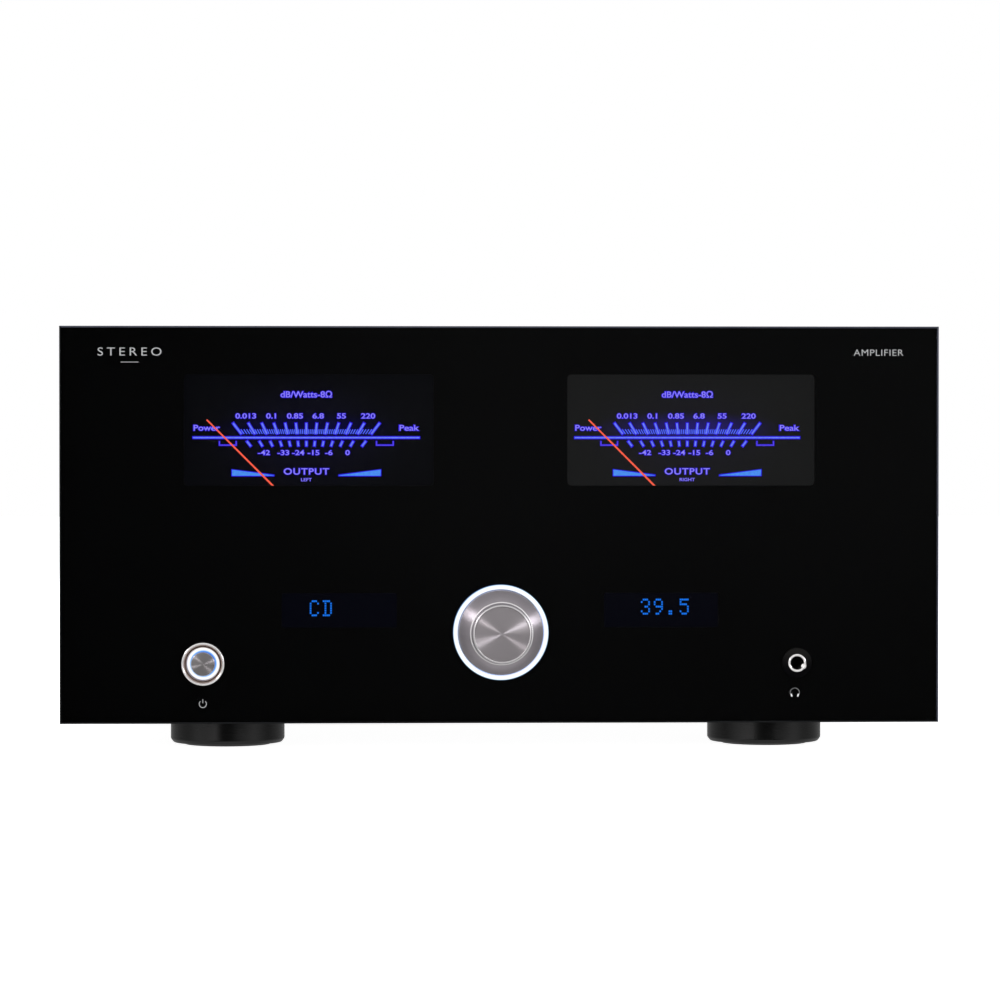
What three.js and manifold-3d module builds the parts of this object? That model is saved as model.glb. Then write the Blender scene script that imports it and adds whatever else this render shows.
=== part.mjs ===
// Integrated stereo amplifier: glass-fronted, with two lit power meters, a large volume knob,
// a ring-lit power button, a headphone socket and a full set of rear connectors.
// Millimetres, +Z up. The front faces -Y and +X is to the right seen from the front.
// The origin is on the surface it stands on, under the middle of its bounding box.
// Inside this file y = 0 is the front face of the glass, and y grows towards the rear panel.
import * as THREE from "three";
import { mergeVertices } from "three/addons/utils/BufferGeometryUtils.js";
import Module from "manifold-3d";

const wasm = await Module();
wasm.setup();

// ---------------------------------------------------------------- driving dimensions

const GAP = 0.3; // running or assembly gap between two pieces
const SHEET = 1.5; // steel sheet of the case
const BOARD = 1.6; // circuit board thickness
const SMALL = 12; // segments of a post or a socket's barrel
const COARSE = 16; // segments of a small turned piece
const ROUND = 24; // segments of an ordinary turned piece
const FINE = 36; // segments of a large turned piece

const PANEL = { width: 430, height: 194, bottom: 14, glass: 5, chamfer: 0.8 };
const FRAME = { front: PANEL.glass + GAP, rear: 10.6, inset: 3 };
const CASE = { front: FRAME.rear + GAP, rear: 390.3, bottom: 17, top: 204.5, halfWidth: 212 };
const INSIDE = {
  floor: CASE.bottom + SHEET + GAP,
  roof: CASE.top - SHEET,
  halfWidth: CASE.halfWidth - SHEET - GAP,
};
const REAR = { inner: CASE.rear + GAP, outer: CASE.rear + GAP + SHEET };
const FLANGE = REAR.outer + GAP; // where the flanges of the rear connectors begin

const KNOB = { x: 0, z: 58.4, radius: 20.7, front: -20, back: 2.5 };
const BOSS = { radius: 14.9, top: 14.2, face: 13.5, baseY: -12, recess: 1.5 };
const LIGHT = { inner: KNOB.radius + GAP, outer: 23.35, front: -1 };
const ENCODER = { bush: 4.5, shaft: 3, front: 19.5, rear: 27.7, half: 7 };
const BUTTON = { x: -145.3, z: 43.2, radius: 8.4, front: -2.2, back: 6, stem: 2 };
const BEZEL = { outer: 10.45, sleeve: 9.5, bore: 8.75, front: -2.2, back: 12 };
const PHONES = { x: 145.3, z: 43.2, bore: 3.25, sleeve: 4.6, nut: 7.3 };

const METER = { x: 93.7, z: 157.3, width: 122, height: 54.5, corner: 2 };
const MOVEMENT = { offset: -1.3, z: 113.6, needle: 69, swing: 45 };
const HOUSING = { half: 66, bottom: 102, top: 190, rear: 42, wall: 2, ledgeY: 16.3 };
const DISPLAY = { x: 78.9, z: 69, width: 56.3, height: 17, corner: 1 };
const FRONT_BOARD = { y: 28, half: 112, bottom: 30, top: 97 };

const FOOT = { x: 135, radius: 28.5, pad: 22, frontY: 60, rearY: 340 };
const TRANSFORMER = { y: 145, outer: 72, inner: 26, top: 88 };
const SINK = { inner: 145, base: 7, outer: 200, front: 80, rear: 330, top: 182, fins: 16, fin: 4 };
const AMP_BOARD = { x: 138, front: 90, rear: 320, bottom: 30, top: 150 };
const SUPPLY = { y: 280, z: 30, halfWidth: 90, halfDepth: 55 };
const CAN = { radius: 17.5, height: 52, places: [-66, -22, 22, 66] };

const SOCKETS = { inner: 379.7, z: 150, columnPitch: 20, rowPitch: 18 };
const BARREL = { radius: 4.2, bore: 1.7, length: 8.4 };
const INPUTS = { x: 10, columns: 6 };
const OUTPUTS = { x: 140, columns: 3 };
const TERMINALS = { left: 110, right: -20, z: 64, pitch: 26, stud: 3.2, cap: 8, tip: 418 };
const INLET = { x: -165, half: 14.5, bottom: 43.5, top: 83.5, socketZ: 72, drawerZ: 50 };
const ROCKER = { x: -118, z: 62, pivotY: REAR.outer - 1.1, width: 13, tilt: 10 };

const MIDDLE = (KNOB.front + TERMINALS.tip) / 2; // half-way from the knob to the terminals

// ---------------------------------------------------------------- materials

function material(color, roughness, metalness) {
  return new THREE.MeshStandardMaterial({ color, roughness, metalness });
}
const BLACK_GLASS = material(0x050607, 0.05, 0.0);
const BLACK_PAINT = material(0x111213, 0.5, 0.3);
const BLACK_ANODISED = material(0x1a1a1b, 0.4, 0.8);
const BLACK_PLASTIC = material(0x0c0c0d, 0.55, 0.0);
const RUBBER = material(0x0a0a0a, 0.9, 0.0);
const SPUN_ALUMINIUM = material(0xa39da0, 0.3, 1.0);
const CHROME = material(0xe6e6ea, 0.1, 1.0);
const LIGHT_PIPE = material(0xe8f6ff, 0.3, 0.0);
const DIAL = material(0x15151a, 0.5, 0.0);
const NEEDLE = material(0xff4a2a, 0.5, 0.0);
const SCREEN = material(0x05060c, 0.1, 0.0);
const CIRCUIT_BOARD = material(0x14412a, 0.5, 0.0);
const WINDING = material(0x9a5a2a, 0.5, 0.4);
const STEEL = material(0x9a9ca0, 0.35, 1.0);
const CAN_SLEEVE = material(0x16181c, 0.35, 0.0);
const GOLD = material(0xd8ab4c, 0.2, 1.0);

// ---------------------------------------------------------------- solids

// A closed geometry as a manifold solid, without the flat triangles left at a lathe's poles.
function asSolid(geometry) {
  const bare = geometry.clone();
  bare.deleteAttribute("normal");
  bare.deleteAttribute("uv");
  const merged = mergeVertices(bare);
  const index = merged.index.array;
  const triangles = [];
  for (let i = 0; i < index.length; i += 3) {
    const [a, b, c] = [index[i], index[i + 1], index[i + 2]];
    if (a !== b && b !== c && c !== a) triangles.push(a, b, c);
  }
  const mesh = new wasm.Mesh({
    numProp: 3,
    vertProperties: merged.attributes.position.array,
    triVerts: new Uint32Array(triangles),
  });
  return new wasm.Manifold(mesh);
}

function asGeometry(solid) {
  const { vertProperties, triVerts } = solid.getMesh();
  const geometry = new THREE.BufferGeometry();
  geometry.setAttribute("position", new THREE.BufferAttribute(new Float32Array(vertProperties), 3));
  geometry.setIndex(new THREE.BufferAttribute(new Uint32Array(triVerts), 1));
  geometry.computeVertexNormals();
  return geometry;
}

function cut(base, ...tools) {
  return asGeometry(tools.reduce((left, tool) => left.subtract(asSolid(tool)), asSolid(base)));
}

function join(first, ...others) {
  return asGeometry(others.reduce((sum, other) => sum.add(asSolid(other)), asSolid(first)));
}

// Limits of a span centred on a value.
function around(centre, halfSpan) {
  return [centre - halfSpan, centre + halfSpan];
}

// A box between two limits on each axis, given in either order.
function block([x0, x1], [y0, y1], [z0, z1]) {
  const box = new THREE.BoxGeometry(Math.abs(x1 - x0), Math.abs(y1 - y0), Math.abs(z1 - z0));
  return box.translate((x0 + x1) / 2, (y0 + y1) / 2, (z0 + z1) / 2);
}

// A profile of [radius, y] pairs, counter-clockwise, turned about a front-to-back axis.
function turnedAlongY(profile, { x, z }, segments = ROUND) {
  const points = profile.map(([radius, y]) => new THREE.Vector2(radius, y));
  return new THREE.LatheGeometry(points, segments).translate(x, 0, z);
}

// A profile of [radius, z] pairs, counter-clockwise, turned about a vertical axis.
function turnedAlongZ(profile, { x, y }, segments = ROUND) {
  const points = profile.map(([radius, z]) => new THREE.Vector2(radius, z));
  return new THREE.LatheGeometry(points, segments).rotateX(Math.PI / 2).translate(x, y, 0);
}

function rodAlongY(radius, [y0, y1], { x, z }, segments = ROUND) {
  const rod = new THREE.CylinderGeometry(radius, radius, y1 - y0, segments);
  return rod.translate(x, (y0 + y1) / 2, z);
}

function rodAlongZ(radius, [z0, z1], { x, y }, segments = ROUND) {
  const rod = new THREE.CylinderGeometry(radius, radius, z1 - z0, segments);
  return rod.rotateX(Math.PI / 2).translate(x, y, (z0 + z1) / 2);
}

// A ring about a front-to-back axis, with its outer front edge eased.
function ringAlongY(inner, outer, [y0, y1], ease, centre, segments = ROUND) {
  const profile = [
    [inner, y0],
    [outer - ease, y0],
    [outer, y0 + ease],
    [outer, y1],
    [inner, y1],
    [inner, y0],
  ];
  return turnedAlongY(profile, centre, segments);
}

function polygon(points) {
  return new THREE.Shape(points.map(([u, v]) => new THREE.Vector2(u, v)));
}

// An outline drawn in x and z, given thickness between two y values.
function extrudedAlongY(outline, [y0, y1]) {
  const settings = { depth: y1 - y0, bevelEnabled: false };
  return new THREE.ExtrudeGeometry(outline, settings).rotateX(Math.PI / 2).translate(0, y1, 0);
}

// A rounded rectangular opening, on the left (-1) or right (+1) of the panel.
function opening({ x, z, width, height, corner }, side, depth) {
  const points = [[1, -1, 270], [1, 1, 0], [-1, 1, 90], [-1, -1, 180]].flatMap(([u, v, start]) =>
    [0, 30, 60, 90].map((step) => {
      const angle = THREE.MathUtils.degToRad(start + step);
      return [
        side * x + u * (width / 2 - corner) + corner * Math.cos(angle),
        z + v * (height / 2 - corner) + corner * Math.sin(angle),
      ];
    }),
  );
  return extrudedAlongY(polygon(points), depth);
}

// Rows of cross-wise ventilation slots through the floor or the lid, on both sides.
function ventSlots({ count, pitch, start, width, inner, outer }, zLimits) {
  const row = Array.from({ length: count }, (_, i) => start + i * pitch);
  return [-1, 1].flatMap((side) =>
    row.map((y) => block([side * inner, side * outer], [y, y + width], zLimits)),
  );
}

const amplifier = new THREE.Group();
const pieces = new THREE.Group();
pieces.position.y = -MIDDLE;
amplifier.add(pieces);

function add(name, geometry, look) {
  const mesh = new THREE.Mesh(geometry, look);
  mesh.name = name;
  pieces.add(mesh);
}

const SIDES = [["left", -1], ["right", 1]];

// ---------------------------------------------------------------- case

// Floor of the case, folded up on all four sides, with a field of slots under each heatsink.
function basePan() {
  const half = INSIDE.halfWidth;
  const depth = [CASE.front, CASE.rear];
  const sideHeight = [CASE.bottom, CASE.bottom + 14];
  const endHeight = [CASE.bottom, CASE.bottom + 11];
  const slots = { count: 10, pitch: 22, start: 100, width: 5, inner: 154, outer: 196 };
  return cut(
    join(
      block([-half, half], depth, [CASE.bottom, CASE.bottom + SHEET]),
      block([-half, SHEET - half], depth, sideHeight),
      block([half - SHEET, half], depth, sideHeight),
      block([-half, half], [CASE.front, CASE.front + SHEET], endHeight),
      block([-half, half], [CASE.rear - SHEET, CASE.rear], endHeight),
    ),
    ...ventSlots(slots, [CASE.bottom - 1, CASE.bottom + SHEET + 1]),
  );
}

// Lid and both sides folded from one sheet, slotted above the heatsinks.
function topCover() {
  const outer = CASE.halfWidth;
  const inner = outer - SHEET;
  const bottom = CASE.bottom + 1;
  const fold = 1.2;
  const profile = polygon([
    [-outer, bottom],
    [-inner, bottom],
    [-inner, INSIDE.roof],
    [inner, INSIDE.roof],
    [inner, bottom],
    [outer, bottom],
    [outer, CASE.top - fold],
    [outer - fold, CASE.top],
    [fold - outer, CASE.top],
    [-outer, CASE.top - fold],
  ]);
  const slots = { count: 22, pitch: 11, start: 88, width: 4, inner: 152, outer: 200 };
  return cut(
    extrudedAlongY(profile, [CASE.front, REAR.outer]),
    ...ventSlots(slots, [INSIDE.roof - 1, CASE.top + 1]),
  );
}

function rearPanel() {
  const half = INSIDE.halfWidth;
  const through = [REAR.inner - 1, REAR.outer + 1];
  const terminalHole = (x) => block(around(x, 34 + GAP), through, around(TERMINALS.z, 11 + GAP));
  const socketHole = ({ x, columns }) => {
    const halfWidth = (columns * SOCKETS.columnPitch) / 2 + GAP;
    return block(around(x, halfWidth), through, around(SOCKETS.z, SOCKETS.rowPitch + GAP));
  };
  return cut(
    block([-half, half], [REAR.inner, REAR.outer], [CASE.bottom, INSIDE.roof - GAP]),
    terminalHole(TERMINALS.left),
    terminalHole(TERMINALS.right),
    socketHole(INPUTS),
    socketHole(OUTPUTS),
    block(around(INLET.x, INLET.half + GAP), through, [INLET.bottom - GAP, INLET.top + GAP]),
    block(around(ROCKER.x, 9 + GAP), through, around(ROCKER.z, 13.8 + GAP)),
  );
}

// Turned foot with a recess underneath for its pad.
function foot(centre) {
  const { radius, pad } = FOOT;
  const top = CASE.bottom - GAP;
  const profile = [
    [0, 3.5],
    [pad + GAP, 3.5],
    [pad + GAP, 1],
    [radius - 1.5, 1],
    [radius, 2.5],
    [radius, top],
    [0, top],
  ];
  return turnedAlongZ(profile, centre);
}

// ---------------------------------------------------------------- front panel

// Glass sheet with a narrow chamfer all round, and three holes.
function frontGlass() {
  const { width, height, bottom, glass, chamfer } = PANEL;
  const [left, right] = around(0, width / 2);
  const outline = polygon([
    [left, bottom],
    [right, bottom],
    [right, bottom + height],
    [left, bottom + height],
  ]);
  const sheet = new THREE.ExtrudeGeometry(outline, {
    depth: glass - 2 * chamfer,
    bevelThickness: chamfer,
    bevelSize: chamfer,
    bevelOffset: -chamfer,
    bevelSegments: 1,
  });
  const through = [-1, glass + 1];
  return cut(
    sheet.rotateX(Math.PI / 2).translate(0, glass - chamfer, 0),
    rodAlongY(LIGHT.outer + GAP, through, KNOB, FINE),
    rodAlongY(BEZEL.sleeve + GAP, through, BUTTON),
    rodAlongY(PHONES.nut + GAP, through, PHONES),
  );
}

// Aluminium plate behind the glass, with the meter and display windows.
function frontFrame() {
  const { front, rear, inset } = FRAME;
  const through = [front - 1, rear + 1];
  return cut(
    block(
      around(0, PANEL.width / 2 - inset),
      [front, rear],
      [PANEL.bottom + inset, PANEL.bottom + PANEL.height - inset],
    ),
    ...SIDES.map(([, side]) => opening(METER, side, through)),
    ...SIDES.map(([, side]) => opening(DISPLAY, side, through)),
    rodAlongY(ENCODER.bush + GAP, through, KNOB, COARSE),
    rodAlongY(BEZEL.sleeve + GAP, through, BUTTON),
    rodAlongY(PHONES.sleeve + GAP, through, PHONES),
  );
}

// Knob with a straight skirt, a conical flank and a tapered boss recessed for its disc.
function volumeKnob() {
  const floor = KNOB.front + BOSS.recess;
  const bore = ENCODER.shaft + GAP;
  const profile = [
    [0, floor],
    [BOSS.face, floor],
    [BOSS.face, KNOB.front],
    [BOSS.top - 0.3, KNOB.front],
    [BOSS.top, KNOB.front + 0.5],
    [BOSS.radius, BOSS.baseY],
    [KNOB.radius - 0.5, -4],
    [KNOB.radius, -3.2],
    [KNOB.radius, KNOB.back],
    [bore, KNOB.back],
    [bore, -9],
    [0, -9],
  ];
  return turnedAlongY(profile, KNOB, FINE);
}

function volumeEncoder() {
  const { bush, shaft, front, rear, half } = ENCODER;
  const body = block(around(KNOB.x, half), [front, rear], around(KNOB.z, half));
  const bushing = rodAlongY(bush, [FRAME.front + GAP, front + 1], KNOB, COARSE);
  return cut(join(body, bushing), rodAlongY(shaft + GAP, [0, front + 2.5], KNOB, COARSE));
}

function powerBezel() {
  const { outer, sleeve, bore, front, back } = BEZEL;
  const profile = [
    [bore + 0.6, front],
    [outer - 0.45, front],
    [outer, front + 0.6],
    [outer, -GAP],
    [sleeve, -GAP],
    [sleeve, back],
    [bore, back],
    [bore, -0.8],
    [bore + 0.6, front],
  ];
  return turnedAlongY(profile, BUTTON);
}

// Round cap, a groove for the light ring, and a stem reaching into the switch.
function powerButton() {
  const { radius, front, back, stem } = BUTTON;
  const profile = [
    [0, front],
    [5.3, front],
    [5.7, front + 0.4],
    [5.7, -0.2],
    [7.7, -0.2],
    [7.7, front + 0.6],
    [radius - 0.2, front + 0.6],
    [radius, front + 0.8],
    [radius, back],
    [stem, back],
    [stem, back + 10],
    [0, back + 10],
  ];
  return turnedAlongY(profile, BUTTON);
}

function powerSwitch() {
  const front = BEZEL.back + GAP;
  return cut(
    join(
      rodAlongY(BEZEL.sleeve, [front, 28], BUTTON, COARSE),
      block(around(BUTTON.x, 6), [27, 34], around(BUTTON.z, 5)),
    ),
    rodAlongY(BUTTON.stem + GAP, [front - 1, front + 8], BUTTON, COARSE),
  );
}

function headphoneJack() {
  const body = block(around(PHONES.x, 8), [CASE.front, 34], around(PHONES.z, 9));
  return cut(body, rodAlongY(PHONES.bore, [CASE.front - 1, 31], PHONES));
}

// Screen standing in its window, on a base that plugs into the board behind it.
function display(side) {
  const x = side * DISPLAY.x;
  const { z, width, height } = DISPLAY;
  return join(
    block(around(x, width / 2 - 0.4), [6, 12], around(z, height / 2 - GAP)),
    block(around(x, 31), [CASE.front, 16], around(z, 13)),
    block(around(x, 20), [15, FRONT_BOARD.y - GAP], around(z, 2)),
  );
}

// Upright board behind the displays and the encoder, standing off the frame on six posts.
function frontBoard() {
  const { y, half, bottom, top } = FRONT_BOARD;
  const back = y + BOARD;
  const posts = [-half + 4, 0, half - 4].flatMap((x) =>
    [bottom + 4, top - 4].map((z) => rodAlongY(3, [CASE.front, y + 1], { x, z }, SMALL)),
  );
  return join(
    block([-half, half], [y, back], [bottom, top]),
    ...posts,
    block([-62, -22], [back - 0.5, 37], [38, 45]),
    block([24, 40], [back - 0.5, 32], [42, 58]),
    block([60, 84], [back - 0.5, 38], [36, 44]),
  );
}

// ---------------------------------------------------------------- power meters

// Each meter sits a little to the left of the middle of its window.
function meterX(side) {
  return side * METER.x + MOVEMENT.offset;
}

// Open-fronted box with a ledge that the dial rests on.
function meterHousing(side) {
  const x = meterX(side);
  const { half, bottom, top, rear, wall, ledgeY } = HOUSING;
  return cut(
    block(around(x, half), [CASE.front, rear], [bottom, top]),
    block(around(x, half - wall), [CASE.front - 1, ledgeY], [bottom + wall, top - wall]),
    block(
      around(x, half - 2 * wall),
      [ledgeY - 1, rear - wall],
      [bottom + 2 * wall, top - 2 * wall],
    ),
  );
}

function meterDial(side) {
  const x = meterX(side);
  const { half, bottom, top, wall, ledgeY } = HOUSING;
  const margin = wall + 0.5;
  const yLimits = [ledgeY - GAP - 1, ledgeY - GAP];
  return cut(
    block(around(x, half - margin), yLimits, [bottom + margin, top - margin]),
    rodAlongY(4.2, [ledgeY - 3, ledgeY + 1], { x, z: MOVEMENT.z }, COARSE),
  );
}

function meterMovement(side) {
  const x = meterX(side);
  const zLimits = [HOUSING.bottom + 2 * HOUSING.wall + 0.5, 131];
  return join(
    block(around(x, 15), [17, HOUSING.rear - HOUSING.wall - GAP], zLimits),
    rodAlongY(3.2, [13.3, 18], { x, z: MOVEMENT.z }, COARSE),
  );
}

// Tapered pointer with a hub and a short counterweight, resting at the left end of its swing.
function meterNeedle(side) {
  const { needle, swing, z } = MOVEMENT;
  const outline = polygon([
    [-1.3, -7.5],
    [1.3, -7.5],
    [0.5, 0],
    [0.35, needle],
    [-0.35, needle],
    [-0.5, 0],
  ]);
  const pointer = join(
    extrudedAlongY(outline, [12.4, 13.0]),
    rodAlongY(3.2, [12.2, 13.0], { x: 0, z: 0 }, COARSE),
  );
  return pointer.rotateY(THREE.MathUtils.degToRad(-swing)).translate(meterX(side), 0, z);
}

// ---------------------------------------------------------------- inside the case

// Wound ring core with rounded shoulders.
function transformer() {
  const { y, inner, outer, top } = TRANSFORMER;
  const bottom = INSIDE.floor;
  const shoulder = 7;
  const profile = [
    [inner, bottom + shoulder],
    [inner + shoulder, bottom],
    [outer - shoulder, bottom],
    [outer, bottom + shoulder],
    [outer, top - shoulder],
    [outer - shoulder, top],
    [inner + shoulder, top],
    [inner, top - shoulder],
    [inner, bottom + shoulder],
  ];
  return turnedAlongZ(profile, { x: 0, y }, FINE);
}

// Dished washer and through bolt that hold the transformer down.
function transformerClamp() {
  const washer = TRANSFORMER.top + GAP;
  const profile = [
    [0, INSIDE.floor],
    [4, INSIDE.floor],
    [4, washer],
    [40, washer],
    [40, washer + 2],
    [14, washer + 3],
    [8, washer + 3],
    [8, washer + 9],
    [0, washer + 9],
  ];
  return turnedAlongZ(profile, { x: 0, y: TRANSFORMER.y });
}

// Extruded comb: a thick back plate and fins reaching outwards.
function heatsink(side) {
  const { inner, base, outer, front, rear, top, fins, fin } = SINK;
  const pitch = (rear - front - fin) / (fins - 1);
  const comb = [[inner, rear], [inner, front]];
  for (let i = 0; i < fins; i += 1) {
    const start = front + i * pitch;
    comb.push([outer, start], [outer, start + fin]);
    if (i < fins - 1) comb.push([inner + base, start + fin], [inner + base, start + pitch]);
  }
  const outline = polygon(comb.map(([x, y]) => [side * x, y]));
  const settings = { depth: top - INSIDE.floor, bevelEnabled: false };
  return new THREE.ExtrudeGeometry(outline, settings).translate(0, 0, INSIDE.floor);
}

// Board carried by its four output transistors, which bear on the heatsink.
function amplifierBoard(side) {
  const { x, front, rear, bottom, top } = AMP_BOARD;
  const outwards = (from, to) => [side * from, side * to];
  const transistors = [110, 160, 234, 284].map((y) =>
    block(outwards(x + 1, SINK.inner - GAP), [y, y + 16], [60, 82]),
  );
  return join(
    block(outwards(x, x + BOARD), [front, rear], [bottom, top]),
    ...transistors,
    block(outwards(x - 16, x + 0.5), [118, 146], [104, 118]),
    block(outwards(x - 16, x + 0.5), [246, 274], [104, 118]),
    block(outwards(x - 9, x + 0.5), [184, 222], [44, 54]),
  );
}

// Board on four posts, for the rectifier and the reservoir capacitors.
function powerSupplyBoard() {
  const { y, z, halfWidth, halfDepth } = SUPPLY;
  const posts = [-1, 1].flatMap((across) =>
    [-1, 1].map((along) => {
      const place = { x: across * (halfWidth - 6), y: y + along * (halfDepth - 6) };
      return rodAlongZ(3, [INSIDE.floor, z + 1], place, SMALL);
    }),
  );
  return join(
    block([-halfWidth, halfWidth], around(y, halfDepth), [z, z + BOARD]),
    ...posts,
    block([-24, 24], [y - 48, y - 30], [z + 1, z + 16]),
  );
}

// Electrolytic can with a rounded upper rim.
function reservoirCapacitor(x) {
  const bottom = SUPPLY.z + BOARD + GAP;
  const top = bottom + CAN.height;
  const profile = [
    [0, bottom],
    [CAN.radius, bottom],
    [CAN.radius, top - 1],
    [CAN.radius - 1, top],
    [0, top],
  ];
  return turnedAlongZ(profile, { x, y: SUPPLY.y });
}

// Upright board soldered to the inner end of both socket blocks.
function inputBoard() {
  const rear = SOCKETS.inner - GAP;
  return join(
    block([-56, 176], [rear - BOARD, rear], [126, 174]),
    block([-20, 20], [rear - 10, rear - 1], [130, 137]),
    block([84, 104], [rear - 12, rear - 1], [140, 160]),
  );
}

// ---------------------------------------------------------------- rear connectors

// Block of phono sockets, two rows high, standing through the rear panel.
function phonoSockets({ x, columns }) {
  const { inner, z, columnPitch, rowPitch } = SOCKETS;
  const { radius, bore, length } = BARREL;
  const face = REAR.outer + 1;
  const first = x - ((columns - 1) * columnPitch) / 2;
  const centres = Array.from({ length: columns }, (_, i) => first + i * columnPitch).flatMap(
    (column) => [-1, 1].map((row) => ({ x: column, z: z + (row * rowPitch) / 2 })),
  );
  return cut(
    join(
      block(around(x, (columns * columnPitch) / 2), [inner, face], around(z, rowPitch)),
      ...centres.map((centre) => rodAlongY(radius, [face - 1, face + length], centre, SMALL)),
    ),
    ...centres.map((centre) => rodAlongY(bore, [face - 4, face + length + 1], centre, 8)),
  );
}

// Two binding posts on a common plate: collars, and hollow studs for plugs.
function speakerTerminals(x) {
  const { z, pitch, stud, tip } = TERMINALS;
  const posts = [-1, 1].map((side) => ({ x: x + (side * pitch) / 2, z }));
  return cut(
    join(
      block(around(x, 38), [FLANGE, FLANGE + 3], around(z, 15)),
      block(around(x, 34), [380, FLANGE + 1], around(z, 11)),
      ...posts.map((centre) => rodAlongY(8.5, [FLANGE + 2, 400], centre)),
      ...posts.map((centre) => rodAlongY(stud, [399, tip - 1], centre, COARSE)),
    ),
    ...posts.map((centre) => rodAlongY(2.05, [402, tip], centre, COARSE)),
  );
}

// Turned nut that clamps a bare wire against its collar.
function terminalCap(x) {
  const { z, stud, cap, tip } = TERMINALS;
  const bore = stud + GAP;
  const start = 400 + GAP;
  const profile = [
    [bore, start],
    [cap - 0.5, start],
    [cap, start + 1],
    [cap, tip - 1.5],
    [cap - 1.5, tip],
    [bore, tip],
    [bore, start],
  ];
  return turnedAlongY(profile, { x, z });
}

// Mains socket with three pins, and a slot below it for the fuse drawer.
function mainsInlet() {
  const { x, half, bottom, top, socketZ, drawerZ } = INLET;
  const face = FLANGE + 2;
  const shell = cut(
    join(
      block(around(x, half), [372, FLANGE + 1], [bottom, top]),
      block(around(x, 25), [FLANGE, face], [bottom - 2.5, top + 3.5]),
    ),
    block(around(x, 12.25), [376, face + 1], around(socketZ, 8.5)),
    block(around(x, 11), [374.7, face + 1], around(drawerZ, 5)),
  );
  const pin = (offset, z) => block(around(x + offset, 1), [375, face - 3], around(z, 2));
  return join(shell, pin(-7, socketZ - 2), pin(0, socketZ + 2), pin(7, socketZ - 2));
}

// Fuse drawer: an open tray with a finger notch in its face.
function fuseDrawer() {
  const { x, drawerZ } = INLET;
  const face = FLANGE + 2.5;
  return cut(
    block(around(x, 10.7), [375, face], around(drawerZ, 4.7)),
    block(around(x, 8.5), [378, face - 4], [drawerZ - 2.5, drawerZ + 6]),
    block(around(x, 5), [face - 1, face + 1], [drawerZ - 3.2, drawerZ - 0.8]),
  );
}

function mainsSwitch() {
  const { x, z } = ROCKER;
  const face = FLANGE + 2;
  return cut(
    join(
      block(around(x, 9), [376, FLANGE + 1], around(z, 13.8)),
      block(around(x, 11), [FLANGE, face], around(z, 15.5)),
    ),
    block(around(x, 6.8), [385, face + 1], around(z, 12.3)),
  );
}

// Rocker drawn level about its pivot, then tipped to rest with its upper end pressed in.
function mainsRocker() {
  const { x, z, pivotY, width, tilt } = ROCKER;
  const section = polygon([
    [-2.5, -8],
    [5.2, -11],
    [3.2, 0],
    [5.2, 11],
    [-2.5, 8],
  ]);
  const rocker = new THREE.ExtrudeGeometry(section, { depth: width, bevelEnabled: false });
  rocker.translate(0, 0, -width / 2).rotateY(Math.PI / 2).rotateX(Math.PI / 2);
  return rocker.rotateX(THREE.MathUtils.degToRad(tilt)).translate(x, pivotY, z);
}

// ---------------------------------------------------------------- assembly

add("base_pan", basePan(), BLACK_PAINT);
add("rear_panel", rearPanel(), BLACK_PAINT);
add("top_cover", topCover(), BLACK_PAINT);

for (const [end, y] of [["front", FOOT.frontY], ["rear", FOOT.rearY]]) {
  for (const [name, side] of SIDES) {
    const centre = { x: side * FOOT.x, y };
    add(`foot_${end}_${name}`, foot(centre), BLACK_ANODISED);
    add(`foot_pad_${end}_${name}`, rodAlongZ(FOOT.pad, [0, 3.2], centre), RUBBER);
  }
}

add("front_glass", frontGlass(), BLACK_GLASS);
add("front_frame", frontFrame(), BLACK_ANODISED);
add("volume_knob", volumeKnob(), SPUN_ALUMINIUM);
add(
  "volume_knob_disc",
  rodAlongY(BOSS.face - GAP, [KNOB.front + 0.1, KNOB.front + BOSS.recess - GAP], KNOB, FINE),
  SPUN_ALUMINIUM,
);
add("volume_shaft", rodAlongY(ENCODER.shaft, [-8.7, ENCODER.front + 1.5], KNOB, COARSE), STEEL);
add("volume_encoder", volumeEncoder(), STEEL);
add(
  "volume_light_ring",
  ringAlongY(LIGHT.inner, LIGHT.outer, [LIGHT.front, PANEL.glass - GAP], 0.4, KNOB, FINE),
  LIGHT_PIPE,
);
add("power_bezel", powerBezel(), CHROME);
add("power_button", powerButton(), SPUN_ALUMINIUM);
add("power_light_ring", ringAlongY(6.0, 7.4, [-1.8, -0.5], 0.2, BUTTON), LIGHT_PIPE);
add("power_switch", powerSwitch(), BLACK_PLASTIC);
add("headphone_jack", headphoneJack(), BLACK_PLASTIC);
add(
  "headphone_sleeve",
  ringAlongY(PHONES.bore, PHONES.sleeve, [-1.2, FRAME.rear - GAP], 0.4, PHONES),
  CHROME,
);
add(
  "headphone_nut",
  ringAlongY(PHONES.sleeve + GAP, PHONES.nut, [-0.4, PANEL.glass - 0.1], 0.4, PHONES),
  BLACK_ANODISED,
);
add("source_display", display(-1), SCREEN);
add("volume_display", display(1), SCREEN);
add("front_board", frontBoard(), CIRCUIT_BOARD);

for (const [name, side] of SIDES) {
  add(`meter_housing_${name}`, meterHousing(side), BLACK_PLASTIC);
  add(`meter_dial_${name}`, meterDial(side), DIAL);
  add(`meter_movement_${name}`, meterMovement(side), BLACK_PLASTIC);
  add(`meter_needle_${name}`, meterNeedle(side), NEEDLE);
  add(`heatsink_${name}`, heatsink(side), BLACK_ANODISED);
  add(`amplifier_board_${name}`, amplifierBoard(side), CIRCUIT_BOARD);
}

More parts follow.
